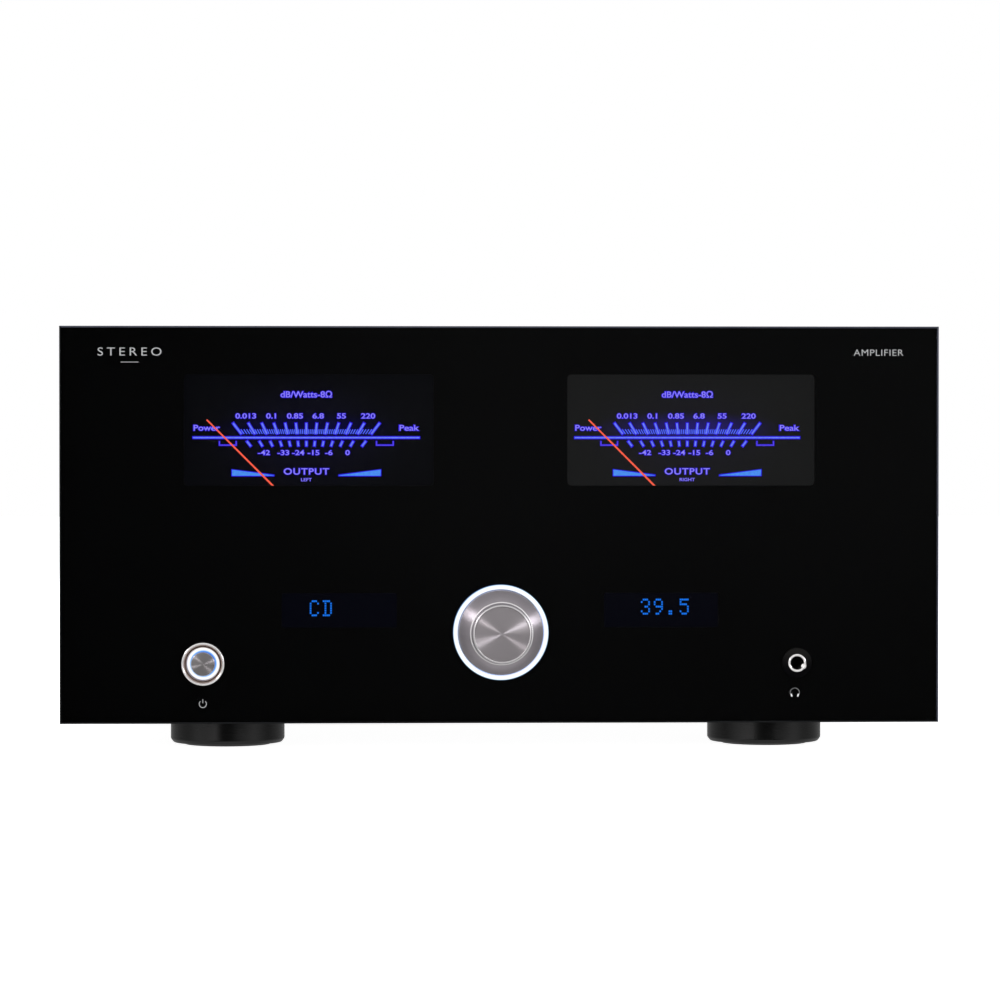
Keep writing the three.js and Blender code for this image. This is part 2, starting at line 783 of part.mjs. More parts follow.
add("transformer", transformer(), WINDING);
add("transformer_clamp", transformerClamp(), STEEL);
add("power_supply_board", powerSupplyBoard(), CIRCUIT_BOARD);
CAN.places.forEach((x, i) => {
  add(`reservoir_capacitor_${i + 1}`, reservoirCapacitor(x), CAN_SLEEVE);
});
add("input_board", inputBoard(), CIRCUIT_BOARD);

add("rca_inputs", phonoSockets(INPUTS), BLACK_PLASTIC);
add("rca_outputs", phonoSockets(OUTPUTS), BLACK_PLASTIC);
for (const [name, x] of [["left", TERMINALS.left], ["right", TERMINALS.right]]) {
  add(`speaker_terminals_${name}`, speakerTerminals(x), BLACK_PLASTIC);
  add(`terminal_cap_${name}_negative`, terminalCap(x - TERMINALS.pitch / 2), GOLD);
  add(`terminal_cap_${name}_positive`, terminalCap(x + TERMINALS.pitch / 2), GOLD);
}
add("mains_inlet", mainsInlet(), BLACK_PLASTIC);
add("fuse_drawer", fuseDrawer(), BLACK_PLASTIC);
add("mains_switch", mainsSwitch(), BLACK_PLASTIC);
add("mains_rocker", mainsRocker(), BLACK_PLASTIC);

export default amplifier;
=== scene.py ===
"""Looks of a glass-fronted stereo amplifier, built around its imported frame.

Lengths are in metres in the frame's own axes: +Z up, front towards -Y, +X to the right seen
from the front. Sizes written in millimetres are multiplied by MM. Places come from the frame.
"""

import math

import bmesh
import bpy
from mathutils import Matrix, Vector


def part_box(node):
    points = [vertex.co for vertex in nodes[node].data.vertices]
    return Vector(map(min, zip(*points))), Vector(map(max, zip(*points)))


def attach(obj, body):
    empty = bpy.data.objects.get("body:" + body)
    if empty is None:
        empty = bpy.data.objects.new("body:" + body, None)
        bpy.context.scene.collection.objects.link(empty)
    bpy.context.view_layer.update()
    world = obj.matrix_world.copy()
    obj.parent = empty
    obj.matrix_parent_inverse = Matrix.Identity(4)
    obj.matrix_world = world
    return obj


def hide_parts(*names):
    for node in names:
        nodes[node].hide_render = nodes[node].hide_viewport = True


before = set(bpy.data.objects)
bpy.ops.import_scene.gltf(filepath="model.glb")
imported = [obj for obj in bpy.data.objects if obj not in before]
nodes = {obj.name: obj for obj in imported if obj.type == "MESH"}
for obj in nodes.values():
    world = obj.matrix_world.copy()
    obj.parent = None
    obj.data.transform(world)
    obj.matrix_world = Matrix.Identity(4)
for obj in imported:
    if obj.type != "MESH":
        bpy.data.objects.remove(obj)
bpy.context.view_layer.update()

MM = 0.001
SEGMENTS = 128

# ------ places taken from the frame


def middle(node):
    low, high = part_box(node)
    return (low + high) / 2


def extent(node):
    """Width, depth and height of a node in mm."""
    low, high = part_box(node)
    return (high - low) / MM


def front_of(node):
    """The middle of a node's front face."""
    place = middle(node)
    place.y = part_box(node)[0].y
    return place


def foot_of(node):
    """The middle of a node's bottom face."""
    place = middle(node)
    place.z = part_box(node)[0].z
    return place


GLASS_LOW, GLASS_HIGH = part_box("front_glass")
PANEL_WIDTH = GLASS_HIGH.x - GLASS_LOW.x
FRONT_Y = GLASS_LOW.y
REAR_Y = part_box("rear_panel")[1].y
DIAL_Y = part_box("meter_dial_left")[0].y
SCREEN_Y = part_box("source_display")[0].y
# Print stands this little off the glass and off the rear panel.
FRONT_PRINT_Y = FRONT_Y - 0.04 * MM
REAR_PRINT_Y = REAR_Y + 0.03 * MM
# The flanges of the connectors lie against the rear panel here.
FLANGE_Y = REAR_Y + 0.3 * MM
# Height of the needles' pivots above the floor.
PIVOT_Z = 113.6 * MM

# ------ camera

CAMERA_DISTANCE = 2.0
SENSOR_WIDTH = 36
VIEW_WIDTH = PANEL_WIDTH * 1.1352

camera_data = bpy.data.cameras.new("camera")
camera_data.sensor_width = SENSOR_WIDTH
camera_data.lens = SENSOR_WIDTH * CAMERA_DISTANCE / VIEW_WIDTH
camera = bpy.data.objects.new("camera", camera_data)
# The lens stands a little to the left of the amplifier and above its middle.
camera.location = (-0.075, FRONT_Y - CAMERA_DISTANCE, 0.152)
aim = Vector((-0.0004, FRONT_Y, 0.1231))
camera.rotation_euler = (aim - camera.location).to_track_quat("-Z", "Y").to_euler()
bpy.context.scene.collection.objects.link(camera)
bpy.context.scene.camera = camera

# ------ materials

# Turn of the grain of turned metal, as a share of a full turn.
SPUN_ROTATION = 0.25


class Graph:
    """A node tree, and the steps that the materials and the world share."""

    def __init__(self, tree):
        self.tree = tree

    def node(self, kind, **settings):
        made = self.tree.nodes.new(kind)
        for setting, value in settings.items():
            setattr(made, setting, value)
        return made

    def link(self, source, target):
        self.tree.links.new(source, target)

    def spread(self, value, low, high, start=0.3, end=0.7):
        """Runs smoothly from low to high as value goes from start to end."""
        made = self.node("ShaderNodeMapRange", interpolation_type="SMOOTHSTEP")
        for slot, number in zip(("From Min", "From Max", "To Min", "To Max"),
                                (start, end, low, high)):
            made.inputs[slot].default_value = number
        self.link(value, made.inputs["Value"])
        return made.outputs["Result"]


class Look(Graph):
    """A Principled material and the few node chains its surface detail is made of."""

    def __init__(self, name, color, roughness, metallic=0.0, slot=None, **sockets):
        self.slot = slot
        self.material = bpy.data.materials.new(name)
        self.material.use_nodes = True
        super().__init__(self.material.node_tree)
        self.shader = self.tree.nodes["Principled BSDF"]
        self.set("Base Color", (*color, 1.0))
        self.set("Roughness", roughness)
        self.set("Metallic", metallic)
        for socket, value in sockets.items():
            self.set(socket.replace("_", " ").title().replace("Ior", "IOR"), value)

    def set(self, socket, value):
        self.shader.inputs[socket].default_value = value

    def place(self, scale=(1, 1, 1), shift=(0, 0, 0)):
        """Object coordinates in millimetres, stretched by scale and then moved by shift."""
        coordinates = self.node("ShaderNodeTexCoord")
        mapping = self.node("ShaderNodeMapping")
        mapping.inputs["Scale"].default_value = [s / MM for s in scale]
        mapping.inputs["Location"].default_value = shift
        self.link(coordinates.outputs["Object"], mapping.inputs["Vector"])
        return mapping.outputs["Vector"]

    def radius(self, shift=(0, 0, 0)):
        """Distance in millimetres from the piece's own front-to-back axis, moved by shift."""
        flat = self.node("ShaderNodeVectorMath", operation="LENGTH")
        self.link(self.place((1, 0, 1), shift), flat.inputs[0])
        return flat.outputs["Value"]

    def noise(self, size, detail=3.0, stretch=(1, 1, 1)):
        """Noise whose features are about size millimetres across."""
        made = self.node("ShaderNodeTexNoise")
        made.inputs["Scale"].default_value = 1 / size
        made.inputs["Detail"].default_value = detail
        self.link(self.place(stretch), made.inputs["Vector"])
        return made.outputs["Fac"]

    def rings(self, size, detail=4.0):
        """Noise that varies only with the distance from the axis, as turning marks do."""
        made = self.node("ShaderNodeTexNoise", noise_dimensions="1D")
        made.inputs["Scale"].default_value = 1 / size
        made.inputs["Detail"].default_value = detail
        self.link(self.radius(), made.inputs["W"])
        return made.outputs["Fac"]

    def blend(self, factor, first, second):
        made = self.node("ShaderNodeMix", data_type="RGBA")
        made.inputs[6].default_value = (*first, 1.0)
        made.inputs[7].default_value = (*second, 1.0)
        self.link(factor, made.inputs[0])
        return made.outputs[2]

    def roughness(self, value, low, high):
        self.link(self.spread(value, low, high), self.shader.inputs["Roughness"])
        return self

    def color(self, value, first, second, start=0.3, end=0.7):
        factor = self.spread(value, 0.0, 1.0, start, end)
        self.link(self.blend(factor, first, second), self.shader.inputs["Base Color"])
        return self

    def bump(self, value, depth):
        """Relief of up to depth millimetres."""
        made = self.node("ShaderNodeBump")
        made.inputs["Strength"].default_value = 1.0
        made.inputs["Distance"].default_value = depth * MM
        self.link(value, made.inputs["Height"])
        self.link(made.outputs["Normal"], self.shader.inputs["Normal"])
        return self

    def glow(self, color, strength):
        self.set("Emission Color", (*color, 1.0))
        self.set("Emission Strength", strength)
        return self

    def glow_from(self, socket):
        """Glows in the color that comes out of a socket."""
        self.link(socket, self.shader.inputs["Emission Color"])
        self.set("Emission Strength", 1.0)
        return self

    def spun(self, amount):
        """Grain that runs round the front-to-back axis."""
        self.set("Anisotropic", amount)
        self.set("Anisotropic Rotation", SPUN_ROTATION)
        tangent = self.node("ShaderNodeTangent", direction_type="RADIAL", axis="Y")
        self.link(tangent.outputs["Tangent"], self.shader.inputs["Tangent"])
        return self


def moulded(name, color, roughness=0.5, grain=0.35, slot="black_plastic"):
    look = Look(name, color, roughness, slot=slot)
    look.roughness(look.noise(6, 3), roughness - 0.06, roughness + 0.08)
    return look.bump(look.noise(grain, 2), 0.015)


def plated(name, color, roughness, slot):
    """Polished plate with a trace of haze."""
    look = Look(name, color, roughness, 1.0, slot)
    return look.roughness(look.noise(0.6, 4), roughness * 0.9, roughness * 1.15)


def printed(name, color):
    look = Look(name, color, 0.4)
    return look.roughness(look.noise(0.8, 2), 0.3, 0.5)


def lit(name, color, slot="meter_dial"):
    """Lit ink or a lit character, a little uneven from place to place."""
    look = Look(name, (0.0, 0.0, 0.0), 0.5, slot=slot, specular_ior_level=0.0)
    deeper = tuple(channel * 0.86 for channel in color)
    factor = look.spread(look.noise(1.5, 2), 0.0, 1.0)
    return look.glow_from(look.blend(factor, deeper, color))


paint = Look("black_powder_coat", (0.010, 0.010, 0.011), 0.5, slot="black_paint",
             specular_ior_level=0.4)
paint.roughness(paint.noise(2.5, 3), 0.46, 0.54)
paint.bump(paint.noise(0.7, 2), 0.03)

print_black = Look("black_back_print", (0.0004, 0.0004, 0.0005), 0.5, slot="smoked_glass",
                   specular_ior_level=0.02)
print_black.roughness(print_black.noise(3, 2), 0.45, 0.6)

anodised = Look("black_anodised_extrusion", (0.014, 0.014, 0.015), 0.4, 0.5, "black_anodised")
anodised.roughness(anodised.noise(1.0, 3, stretch=(1, 1, 0.03)), 0.34, 0.5)
anodised.bump(anodised.noise(0.5, 2, stretch=(1, 1, 0.02)), 0.01)

foot_black = Look("satin_black_foot", (0.0035, 0.0035, 0.0035), 0.4, slot="black_anodised",
                  specular_ior_level=0.35)
foot_black.roughness(foot_black.noise(1.5, 2, stretch=(0.05, 0.05, 1)), 0.25, 0.28)
foot_black.bump(foot_black.noise(0.3, 2, stretch=(0.05, 0.05, 1)), 0.001)

rubber = moulded("black_rubber", (0.012, 0.012, 0.012), 0.8, 0.6, "rubber_pad")

glass = Look("smoked_glass", (0.93, 0.95, 0.97), 0.0, slot="smoked_glass",
             transmission_weight=1.0, ior=1.5)
glass.roughness(glass.noise(60, 2), 0.0, 0.006)
glass_edge = Look("polished_glass_edge", (0.0012, 0.0016, 0.0022), 0.2, slot="smoked_glass",
                  specular_ior_level=0.12)
glass_edge.roughness(glass_edge.noise(4, 3), 0.15, 0.3)
# Lighter bluish-gray colour for the rim faces toward the top and right: a painted highlight of
# the light from above and the right.
glass_rim_painted_highlight = Look("painted_highlight_glass_edge", (0.045, 0.049, 0.070), 0.4, slot="smoked_glass",
                      specular_ior_level=0.2)
glass_rim_painted_highlight.color(glass_rim_painted_highlight.noise(6, 3), (0.042, 0.046, 0.066), (0.049, 0.053, 0.074))

spun = Look("spun_aluminium", (0.76, 0.72, 0.74), 0.31, 1.0, "spun_aluminium").spun(1.0)
spun.color(spun.rings(0.16), (0.72, 0.665, 0.695), (0.815, 0.755, 0.79))
spun.bump(spun.rings(0.09, 2), 0.002)
spun_small = Look("spun_aluminium_cap", (0.60, 0.57, 0.58), 0.3, 1.0, "spun_aluminium")
spun_small.spun(0.96)
spun_small.color(spun_small.rings(0.2), (0.57, 0.54, 0.55), (0.64, 0.605, 0.62))

spun_flank = Look("turned_aluminium", (0.60, 0.57, 0.585), 0.38, 1.0, "spun_aluminium")
spun_flank.spun(0.75)
spun_flank.color(spun_flank.rings(0.2), (0.555, 0.51, 0.55), (0.63, 0.58, 0.625))

polished = plated("polished_aluminium", (0.86, 0.84, 0.845), 0.42, "spun_aluminium")
chrome = plated("bright_chrome", (0.97, 0.955, 0.945), 0.2, "bright_chrome")
dark_chrome = plated("dark_nickel", (0.62, 0.52, 0.48), 0.5, "bright_chrome")
steel = plated("zinc_plated_steel", (0.56, 0.57, 0.58), 0.32, "plain_steel")
steel.bump(steel.noise(0.5, 3), 0.01)
gold = plated("gold_plate", (0.90, 0.66, 0.28), 0.14, "gold_plate")
black_plastic = moulded("black_plastic", (0.014, 0.014, 0.015))
# Black that is lighter near the top edge of the nut and darker below it: a painted sheen of the
# light from above. On the screws it colours the cross slab, as painted recess shade.
black_with_painted_sheen_and_shade = moulded("black_nut_painted_sheen_and_shade", (0.0030, 0.0026, 0.0024), 0.6, 0.5)
black_with_painted_sheen_and_shade.set("Specular IOR Level", 0.035)
black_with_painted_sheen_and_shade.color(black_with_painted_sheen_and_shade.radius((0, 0, -7.4)), (0.0088, 0.0084, 0.0080),
                (0.0008, 0.0007, 0.0011), 3.0, 12.5)
gloss_black = moulded("glossy_black_plastic", (0.008, 0.008, 0.009), 0.2, 0.8)
red_plastic = moulded("red_plastic", (0.42, 0.012, 0.010), 0.35)
white_plastic = moulded("white_plastic", (0.70, 0.69, 0.66), 0.35)
print_silver = printed("silver_print", (0.36, 0.365, 0.375))
print_gray = printed("gray_print", (0.16, 0.165, 0.17))
print_white = Look("white_print", (0.72, 0.72, 0.72), 0.5)
print_white.color(print_white.noise(0.6, 2), (0.62, 0.62, 0.62), (0.76, 0.76, 0.76))

board = Look("solder_mask", (0.012, 0.075, 0.035), 0.32, slot="circuit_board",
             coat_weight=0.4)
board.color(board.noise(2.2, 1, stretch=(1, 1, 0.12)), (0.006, 0.045, 0.022),
            (0.02, 0.11, 0.05), 0.47, 0.53)
board.bump(board.noise(2.2, 1, stretch=(1, 1, 0.12)), 0.04)

tape = Look("amber_winding_tape", (0.36, 0.17, 0.03), 0.3, slot="transformer_tape",
            coat_weight=0.6)
tape.color(tape.noise(9, 2), (0.24, 0.10, 0.018), (0.44, 0.22, 0.045))
tape.bump(tape.noise(3, 1, stretch=(1, 1, 0.1)), 0.25)

can_black = Look("shrink_sleeve", (0.010, 0.012, 0.02), 0.22, slot="capacitor_sleeve",
                 coat_weight=0.3)
can_black.roughness(can_black.noise(5, 3), 0.16, 0.3)

characters = lit("display_blue", (0.010, 0.20, 0.94), slot="display_screen")
ink_halo = lit("scale_edge", (0.030, 0.008, 0.92))
ink = lit("scale_violet", (0.36, 0.30, 1.0))
ink_blue = lit("scale_blue", (0.175, 0.25, 1.0))
ink_wedge = lit("scale_bright_blue", (0.088, 0.33, 1.0))
ink_minor = lit("scale_minor_blue", (0.11, 0.20, 1.0))
ink_dim = lit("scale_dim_violet", (0.14, 0.09, 0.86))
needle_red = lit("needle_orange_red", (1.0, 0.13, 0.075), slot="meter_needle")
needle_red.set("Base Color", (0.5, 0.03, 0.01, 1.0))

screen = Look("display_filter", (0.0002, 0.0002, 0.0006), 0.4, slot="display_screen",
              specular_ior_level=0.02)
screen.glow((0.03, 0.08, 1.0), 0.0022)
screen.roughness(screen.noise(12, 2), 0.3, 0.45)


def dial_plate(name, base, haze, bleed):
    """Matt dial whose backlight leaks a haze round the scale and bleeds between its ticks."""
    look = Look(name, (0.002, 0.002, 0.002), 0.6, slot="meter_dial", specular_ior_level=0.05)

    def nearness(stretch, height, reach):
        away = look.node("ShaderNodeVectorMath", operation="LENGTH")
        look.link(look.place(stretch, (0, 0, -height * stretch[2])), away.inputs[0])
        return look.spread(away.outputs["Value"], 1.0, 0.0, 0.0, reach)

    ticks, whole_scale = nearness((0.18, 0, 1), 44.5, 9.0), nearness((0.45, 0, 0.8), 41, 26.0)
    glow = look.node("ShaderNodeMix", data_type="RGBA")
    look.link(ticks, glow.inputs[0])
    look.link(look.blend(whole_scale, base, haze), glow.inputs[6])
    glow.inputs[7].default_value = (*bleed, 1.0)
    return look.glow_from(glow.outputs[2])


def light_pipe(name, inner, outer, colors, shift=(0, 0, 0)):
    """Lit ring whose color runs through (share of its width, color) stops from the inside out."""
    look = Look(name, (0.01, 0.015, 0.03), 0.4, slot="light_pipe", specular_ior_level=0.1)
    across = look.spread(look.radius(shift), 0.0, 1.0, inner, outer)
    across.node.interpolation_type = "LINEAR"
    ramp = look.node("ShaderNodeValToRGB")
    while len(ramp.color_ramp.elements) < len(colors):
        ramp.color_ramp.elements.new(0.5)
    for element, (share, color) in zip(ramp.color_ramp.elements, colors):
        element.position = share
        element.color = (*color, 1.0)
    look.link(across, ramp.inputs["Fac"])
    return look.glow_from(ramp.outputs["Color"])


# ------ mesh pieces


def paint_node(node, look):
    """Gives a frame node that stays visible its material."""
    slots = nodes[node].data.materials
    slots.clear()
    slots.append(look.material)


def soften(piece, width, segments=2):
    """Rounds the sharp edges of a piece."""
    bevel = piece.modifiers.new("eased_edges", "BEVEL")
    bevel.width = width * MM
    bevel.segments = segments
    bevel.limit_method = "ANGLE"
    bevel.angle_limit = math.radians(40)
    bevel.harden_normals = True


def new_piece(name, mesh, place, look, *replaced, body="chassis"):
    """Puts a mesh in the scene at place, riding on a body and standing for frame nodes."""
    piece = bpy.data.objects.new(name, mesh)
    piece.location = place
    bpy.context.scene.collection.objects.link(piece)
    mesh.materials.append(look.material)
    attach(piece, body)
    if replaced:
        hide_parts(*replaced)
    return piece


def built(name, shape):
    """The finished mesh of a shape. The shape is used up."""
    mesh = bpy.data.meshes.new(name)
    shape.to_mesh(mesh)
    shape.free()
    return mesh


def eased(profile, radius, closed=False, steps=4):
    """A profile with each corner rounded to about the given radius."""
    points = [Vector(p) for p in profile]
    count = len(points)
    rounded = []
    for i, point in enumerate(points):
        if not closed and i in (0, count - 1):
            rounded.append(point)
            continue
        before, after = points[i - 1], points[(i + 1) % count]
        back, ahead = before - point, after - point
        reach = min(radius, back.length * 0.45, ahead.length * 0.45)
        start = point + back.normalized() * reach
        end = point + ahead.normalized() * reach
        for step in range(steps + 1):
            t = step / steps
            rounded.append(start * (1 - t) ** 2 + point * 2 * t * (1 - t) + end * t ** 2)
    return rounded


def lathe(name, profile, axis="Y", closed=False, segments=SEGMENTS):
    """A smooth turned mesh about its own origin. The profile holds (radius, along) in mm."""
    shape = bmesh.new()
    columns = []
    for turn in range(segments):
        angle = 2 * math.pi * turn / segments
        cos, sin = math.cos(angle), math.sin(angle)
        column = []
        for i, (radius, along) in enumerate(profile):
            if radius < 1e-6 and columns:
                column.append(columns[0][i])
                continue
            across, up = radius * cos * MM, radius * sin * MM
            place = (across, along * MM, up) if axis == "Y" else (across, up, along * MM)
            column.append(shape.verts.new(place))
        columns.append(column)
    rows = len(profile)
    for turn in range(segments):
        here, there = columns[turn], columns[(turn + 1) % segments]
        for i in range(rows if closed else rows - 1):
            j = (i + 1) % rows
            corners = list(dict.fromkeys((here[i], here[j], there[j], there[i])))
            if len(corners) > 2:
                shape.faces.new(corners)
    bmesh.ops.recalc_face_normals(shape, faces=shape.faces)
    mesh = built(name, shape)
    mesh.shade_smooth()
    return mesh


def tube(inner, outer, start, end):
    """The profile of a ring with a square section."""
    return [(inner, start), (outer, start), (outer, end), (inner, end)]


def flatten_faces(piece):
    """Keeps flat faces evenly shaded up to their rounded corners."""
    piece.modifiers.new("flat_faces_first", "WEIGHTED_NORMAL").keep_sharp = True


def turned(name, profile, place, look, *replaced, body="chassis", axis="Y", closed=False,
           ease=0.25, segments=SEGMENTS):
    """A turned piece with rounded corners and clean flat faces."""
    mesh = lathe(name, eased(profile, ease, closed), axis, closed, segments)
    flatten_faces(new_piece(name, mesh, place, look, *replaced, body=body))


def add_box(shape, low, high):
    """Adds a box to a mesh being built, and returns its corners."""
    cube = bmesh.ops.create_cube(shape, size=1.0)["verts"]
    bmesh.ops.scale(shape, vec=high - low, verts=cube)
    bmesh.ops.translate(shape, vec=(low + high) / 2, verts=cube)
    return cube


def boxes(name, limits, place, look, *replaced, ease=0.3):
    """One piece made of boxes, each given by its low and high corners in mm from place."""
    shape = bmesh.new()
    for low, high in limits:
        add_box(shape, Vector(low) * MM, Vector(high) * MM)
    soften(new_piece(name, built(name, shape), place, look, *replaced), ease, 3)


# A capital of Blender's own font at size 1 is this high.
CAPITAL = 0.73


class Print:
    """Flat artwork facing the front (or the rear), drawn in mm about a place on a surface."""

    def __init__(self, rear=False):
        self.shape = bmesh.new()
        self.rear = rear

    def polygon(self, points):
        if self.rear:
            points = [(-x, z) for x, z in points]
        verts = [self.shape.verts.new((x * MM, 0, z * MM)) for x, z in points]
        self.shape.faces.new(verts)

    def bar(self, x0, x1, z0, z1, grow=0.0):
        self.polygon([(x0 - grow, z0 - grow), (x1 + grow, z0 - grow),
                      (x1 + grow, z1 + grow), (x0 - grow, z1 + grow)])

    def stroke(self, start, end, width):
        start, end = Vector(start), Vector(end)
        along = (end - start).normalized()
        side = Vector((-along.y, along.x)) * width / 2
        self.polygon([tuple(p) for p in (start - side, end - side, end + side, start + side)])

    def arc(self, centre, radius, width, first, last, steps=32):
        """A band of a circle between two angles in degrees, as a chain of quads."""
        angles = [math.radians(first + (last - first) * i / steps) for i in range(steps + 1)]
        inner, outer = radius - width / 2, radius + width / 2

        def at(r, a):
            return centre[0] + r * math.cos(a), centre[1] + r * math.sin(a)

        for a, b in zip(angles, angles[1:]):
            self.polygon([at(inner, a), at(outer, a), at(outer, b), at(inner, b)])

    def text(self, words, x, z, height, bold=0.0, stretch=1.0, spacing=1.0):
        """Words centred on x and z, with capitals of the given height."""
        curve = bpy.data.curves.new("words", "FONT")
        curve.body = words
        curve.size = 1.0
        curve.offset = bold
        curve.space_character = spacing
        curve.resolution_u = 4
        holder = bpy.data.objects.new("words", curve)
        bpy.context.scene.collection.objects.link(holder)
        bpy.context.view_layer.update()
        mesh = bpy.data.meshes.new_from_object(holder)
        bpy.data.objects.remove(holder)
        bpy.data.curves.remove(curve)
        scale = height / CAPITAL
        places = [v.co for v in mesh.vertices]
        centre_x = (min(p.x for p in places) + max(p.x for p in places)) / 2
        across = -MM if self.rear else MM
        added = [self.shape.verts.new((((p.x - centre_x) * scale * stretch + x) * across, 0,
                                       ((p.y - CAPITAL / 2) * scale + z) * MM))
                 for p in places]
        for face in mesh.polygons:
            self.shape.faces.new([added[i] for i in face.vertices])
        bpy.data.meshes.remove(mesh)

    def lay(self, name, place, look, body="chassis"):
        return new_piece(name, built(name, self.shape), place, look, body=body)


# ------ case

for node in ("base_pan", "rear_panel", "top_cover"):
    paint_node(node, paint)
soften(nodes["top_cover"], 0.35)
soften(nodes["rear_panel"], 0.25)
soften(nodes["base_pan"], 0.25)

for side in ("left", "right"):
    for end in ("front", "rear"):
        foot = f"foot_{end}_{side}"
        radius, height = extent(foot).x / 2, extent(foot).z
        groove = radius - 0.5
        profile = [(0, 2.5), (22.3, 2.5), (22.3, 0), (radius - 1.8, 0), (radius - 1.2, 0.35),
                   (radius, 2.0), (radius, height - 2.2), (groove, height - 1.9),
                   (groove, height - 1.2), (radius, height - 0.9), (radius, height),
                   (0, height)]
        turned(f"turned_{foot}", profile, foot_of(foot), foot_black, foot, axis="Z", ease=0.5)

        pad = f"foot_pad_{end}_{side}"
        radius = extent(pad).x / 2
        profile = [(0, 0.3), (radius * 0.3, 0.3), (radius * 0.33, 0), (radius - 0.6, 0),
                   (radius, 0.6), (radius, 3.2), (0, 3.2)]
        turned(f"rubber_pad_{end}_{side}", profile, foot_of(pad), rubber, pad, axis="Z",
               ease=0.3, segments=64)


def screw(name, place, facing, radius=2.9):
    """A pan-head screw, standing on a surface that faces `facing`. Its cross recess is a thin
    dark slab: painted shade.
    """
    dome = [(0, 1.25), (radius * 0.5, 1.2), (radius * 0.85, 0.9), (radius, 0.35), (radius, 0),
            (0, 0)]
    mesh = lathe(name, eased(dome, 0.2), "Z", segments=32)
    shape = bmesh.new()
    shape.from_mesh(mesh)
    # The cross is not cut: it is a thin slab on the dome in the dark material, painted shade
    # where a recess would be.
    arm, half = radius * 0.55, radius * 0.13
    for across, along in ((arm, half), (half, arm)):
        corner = Vector((across, along, 0.1)) * MM
        centre = Vector((0, 0, 1.2)) * MM
        cube = add_box(shape, centre - corner, centre + corner)
        for face in {f for v in cube for f in v.link_faces}:
            face.material_index = 1
    shape.to_mesh(mesh)
    shape.free()
    mesh.transform(Vector((0, 0, 1)).rotation_difference(Vector(facing)).to_matrix().to_4x4())
    new_piece(name, mesh, place, gloss_black)
    mesh.materials.append(black_with_painted_sheen_and_shade.material)


centre, half = middle("rear_panel"), extent("rear_panel") / 2 * MM
rear_screws = [(x, z) for x in (-0.95, -0.35, 0.35, 0.95) for z in (-0.93, 0.93)]
rear_screws += [(-0.95, 0.0), (0.95, 0.0)]
for i, (u, v) in enumerate(rear_screws):
    screw(f"rear_screw_{i}", Vector((centre.x + u * half.x, REAR_Y, centre.z + v * half.z)),
          (0, 1, 0))

# The cover is narrower than the glass, so the heads stay inside the width of the CAD.
cover_low, cover_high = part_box("top_cover")
for side, x, facing in (("left", cover_low.x, (-1, 0, 0)), ("right", cover_high.x, (1, 0, 0))):
    for i, share in enumerate((0.12, 0.5, 0.88)):
        y = cover_low.y + share * (cover_high.y - cover_low.y)
        screw(f"cover_screw_{side}_{i}", Vector((x, y, cover_low.z + 7 * MM)), facing, 3.2)

# ------ glass front


def glass_pane():
    """The frame's own glass. Its rim is dark and polished; at the top and right its faces get a
    lighter bluish-gray colour, a painted highlight.
    """
    mesh = nodes["front_glass"].data.copy()
    mesh.materials.clear()
    new_piece("glass_pane", mesh, (0, 0, 0), glass, "front_glass")
    mesh.materials.append(glass_edge.material)
    mesh.materials.append(glass_rim_painted_highlight.material)
    low, high = GLASS_LOW, GLASS_HIGH
    for face in mesh.polygons:
        centre = face.center
        rim = min(centre.x - low.x, high.x - centre.x, centre.z - low.z, high.z - centre.z)
        if abs(face.normal.y) < 0.99 and rim < 1.0 * MM:
            # Rim faces toward the top or right get the painted highlight colour, the others the
            # dark polished edge.
            face.material_index = 2 if max(face.normal.x, face.normal.z) > 0.3 else 1


def back_print():
    """Black print on the back of the glass, with the openings of the frame behind it."""
    frame_low, frame_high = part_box("front_frame")
    sheet = bmesh.new()
    sheet.from_mesh(nodes["front_frame"].data)
    near = 0.01 * MM
    behind = [v for v in sheet.verts if v.co.y > frame_low.y + near]
    bmesh.ops.delete(sheet, geom=behind, context="VERTS")
    margin = 0.05 * MM
    for vert in sheet.verts:
        vert.co.y = GLASS_HIGH.y + 0.1 * MM
        for axis in (0, 2):
            if abs(vert.co[axis] - frame_low[axis]) < near:
                vert.co[axis] = GLASS_LOW[axis] + margin
            elif abs(vert.co[axis] - frame_high[axis]) < near:
                vert.co[axis] = GLASS_HIGH[axis] - margin
    new_piece("back_print", built("back_print", sheet), (0, 0, 0), print_black)


glass_pane()
back_print()
paint_node("front_frame", print_black)

marks = Print()
marks.text("STEREO", 0, 0, 4.2, -0.004, 1.2, 1.44)
marks.bar(-4.3, 4.3, -5.4, -5.1)
marks.lay("left_badge", Vector((-180.8 * MM, FRONT_PRINT_Y, 195.6 * MM)), print_silver)
marks = Print()
marks.text("AMPLIFIER", 0, 0, 3.3, -0.004, 1.12, 1.08)
marks.lay("right_badge", Vector((185.2 * MM, FRONT_PRINT_Y, 195.3 * MM)), print_silver)

# ------ volume control

knob_place = front_of("volume_knob")
KNOB_RADIUS, KNOB_DEPTH = extent("volume_knob").x / 2, extent("volume_knob").y
BOSS_BASE, BOSS_TOP, BOSS_HEIGHT = 14.9, 14.2, 8.0
FLANK_END = 16.0


def flank():
    """The gently swelling cone between the boss and the skirt."""
    reach = KNOB_RADIUS - 0.15 - BOSS_BASE
    points = []
    for step in range(13):
        share = step / 12
        swell = 0.35 * math.sin(math.pi * share)
        points.append((BOSS_BASE + 0.3 + (reach - 0.3) * share + 0.25 * swell,
                       BOSS_HEIGHT + (FLANK_END - BOSS_HEIGHT) * share - swell))
    return points


disc_radius, disc_depth = extent("volume_knob_disc").x / 2, extent("volume_knob_disc").y
recess = disc_radius + 0.3

